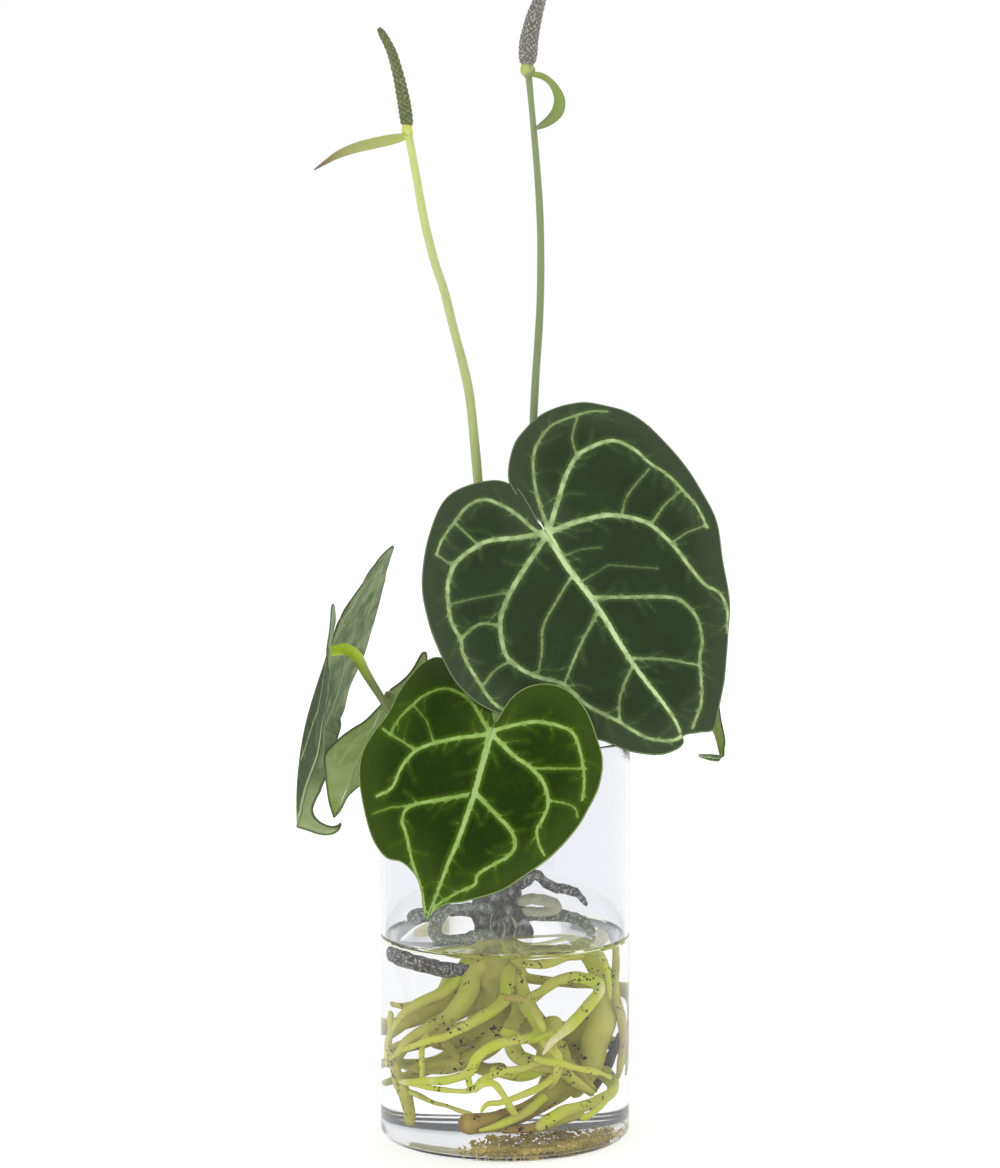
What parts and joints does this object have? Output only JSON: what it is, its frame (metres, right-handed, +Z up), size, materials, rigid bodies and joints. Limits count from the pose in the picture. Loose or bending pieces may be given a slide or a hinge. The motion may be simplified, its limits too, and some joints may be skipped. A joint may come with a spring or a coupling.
{
  "type": "anthurium in glass vase",
  "caption": "Velvet-leaved anthurium with pale veins, grown bare-rooted in water in a clear glass cylinder vase, with slender flower spikes.",
  "frame": {"origin": "centre of the vase's underside", "axes": "+Z up along the vase's axis; the plant's large leaf faces -Y and the left leaf -X"},
  "size_m": [0.2044, 0.195, 0.5496],
  "materials": {
    "clear_glass": "clear polished",
    "clear_water": "clear liquid surface",
    "leaf_blade": "velvety matt upper face with pale green veins",
    "green_stalk": "smooth satin",
    "green_spadix": "fine bumps, matt",
    "brown_spadix": "fine bumps, matt",
    "green_spathe": "thin, satin",
    "dark_bark": "rough",
    "pale_root": "smooth, fleshy"
  },
  "bodies": {
    "root": {"glass_vase": "clear_glass", "water": "clear_water", "rootstock": "dark_bark", "root_13_old_dark": "dark_bark", "aerial_root_right": "dark_bark", "aerial_root_left": "dark_bark", "aerial_root_arch": "dark_bark", "aerial_root_low_right": "dark_bark", "leaf_1_large": "leaf_blade", "leaf_2_medium": "leaf_blade", "leaf_3_left": "leaf_blade", "leaf_4_back": "leaf_blade", "leaf_5_low_left": "leaf_blade", "petiole_1": "green_stalk", "petiole_2": "green_stalk", "petiole_3": "green_stalk", "petiole_4": "green_stalk", "petiole_5": "green_stalk", "peduncle_left": "green_stalk", "peduncle_right": "green_stalk", "spadix_left": "green_spadix", "spadix_right": "brown_spadix", "spathe_left": "green_spathe", "spathe_right": "green_spathe", "root_01_left": "pale_root", "root_02_left_front": "pale_root", "root_03_front_left": "pale_root", "root_04_front_long": "pale_root", "root_05_front_loop": "pale_root", "root_06_right": "pale_root", "root_07_right_back": "pale_root", "root_08_back_right": "pale_root", "root_09_back_left": "pale_root", "root_10_left_blunt": "pale_root", "root_11_floor_left": "pale_root", "root_12_floor_right": "pale_root"}
  },
  "joints": []
}
